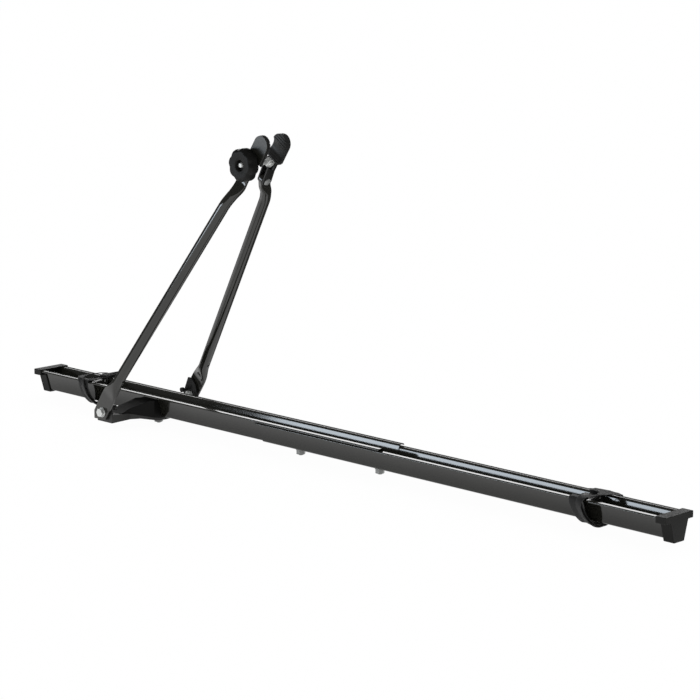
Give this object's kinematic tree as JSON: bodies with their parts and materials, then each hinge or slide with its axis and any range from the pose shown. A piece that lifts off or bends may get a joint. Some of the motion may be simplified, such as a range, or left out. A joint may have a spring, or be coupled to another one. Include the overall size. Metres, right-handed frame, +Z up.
{
  "type": "roof mounted bike carrier",
  "caption": "Long steel wheel channel for a car roof with a folding pair of arms, a frame clamp with a lobed knob, and wheel straps.",
  "frame": {"origin": "middle of the carrier's length and width, at the height of the lowest bolt tip", "axes": "+X along the wheel channel towards its rear end, +Y across the car, +Z up; the clamp's knob is on the -Y side"},
  "size_m": [1.4, 0.216, 0.5099],
  "materials": {
    "rail_coat": "black gloss powder coat",
    "arm_coat": "black gloss powder coat",
    "black_coat": "black satin powder coat",
    "black_plastic": "black, fine grain",
    "saddle_plastic": "black",
    "knob_plastic": "black satin, fine grain",
    "pad_rubber": "black",
    "zinc": "zinc plate",
    "buckle_steel": "black plate",
    "webbing": "black woven nylon webbing"
  },
  "bodies": {
    "base": {"front_rail": "rail_coat", "rear_rail": "rail_coat", "front_end_cap": "black_plastic", "rear_end_cap": "black_plastic", "crossbar": "black_coat", "rail_saddle": "saddle_plastic", "ear_studs": "black_coat", "bracket_bolt": "zinc", "rail_bolts": "zinc", "bolt_washers": "zinc", "bolt_nuts": "zinc", "pivot_bolts": "zinc", "pivot_nuts": "zinc", "pivot_washers": "zinc", "front_strap": "webbing", "rear_strap": "webbing", "front_strap_tail": "webbing", "rear_strap_tail": "webbing", "front_buckle": "buckle_steel", "rear_buckle": "buckle_steel", "buckle_pins": "zinc"},
    "arm_frame": {"near_arm": "arm_coat", "far_arm": "arm_coat", "near_jaw_pad": "pad_rubber", "jaw_rivet": "zinc"},
    "far_jaw": {"jaw_lever": "black_coat", "far_jaw_pad": "pad_rubber", "eye_pin": "zinc"},
    "clamp_bolt": {"eye_bolt": "zinc"},
    "knob_carrier": {"knob_washer": "zinc"},
    "knob": {"clamp_knob": "knob_plastic", "knob_nut": "zinc"},
    "front_lever": {"front_buckle_lever": "buckle_steel"},
    "rear_lever": {"rear_buckle_lever": "buckle_steel"}
  },
  "joints": [
    {"name": "arm_fold", "type": "hinge", "parent": "base", "child": "arm_frame", "pos_m": [-0.4258, 0, 0.02935], "axis": [0, 1, 0], "range_deg": [-34, 48]},
    {"name": "jaw_open", "type": "hinge", "parent": "arm_frame", "child": "far_jaw", "pos_m": [-0.16015, 0.025, 0.43278], "axis": [-0.8281, 0, 0.5606], "range_deg": [0, 16]},
    {"name": "bolt_tilt", "type": "hinge", "parent": "far_jaw", "child": "clamp_bolt", "pos_m": [-0.13996, 0.017, 0.46259], "axis": [-0.8281, 0, 0.5606], "range_deg": [-16, 0]},
    {"name": "knob_run", "type": "slide", "parent": "clamp_bolt", "child": "knob_carrier", "axis": [0, -1, 0], "range_m": [0, 0.0103]},
    {"name": "knob_spin", "type": "hinge", "parent": "knob_carrier", "child": "knob", "pos_m": [-0.13996, -0.037, 0.46259], "axis": [0, -1, 0], "continuous": true},
    {"name": "front_buckle_open", "type": "hinge", "parent": "base", "child": "front_lever", "pos_m": [-0.564, 0.0065, 0.04825], "axis": [-1, 0, 0], "range_deg": [0, 35], "stiffness_Nm_per_rad": 0.02, "springref_deg": -20.05},
    {"name": "rear_buckle_open", "type": "hinge", "parent": "base", "child": "rear_lever", "pos_m": [0.539, 0.0065, 0.04435], "axis": [-1, 0, 0], "range_deg": [0, 35], "stiffness_Nm_per_rad": 0.02, "springref_deg": -20.05}
  ],
  "couplings": [
    {"joint": "bolt_tilt", "follows": "jaw_open", "ratio": -1},
    {"joint": "knob_run", "follows": "jaw_open", "m_per_rad": 0.0366}
  ]
}
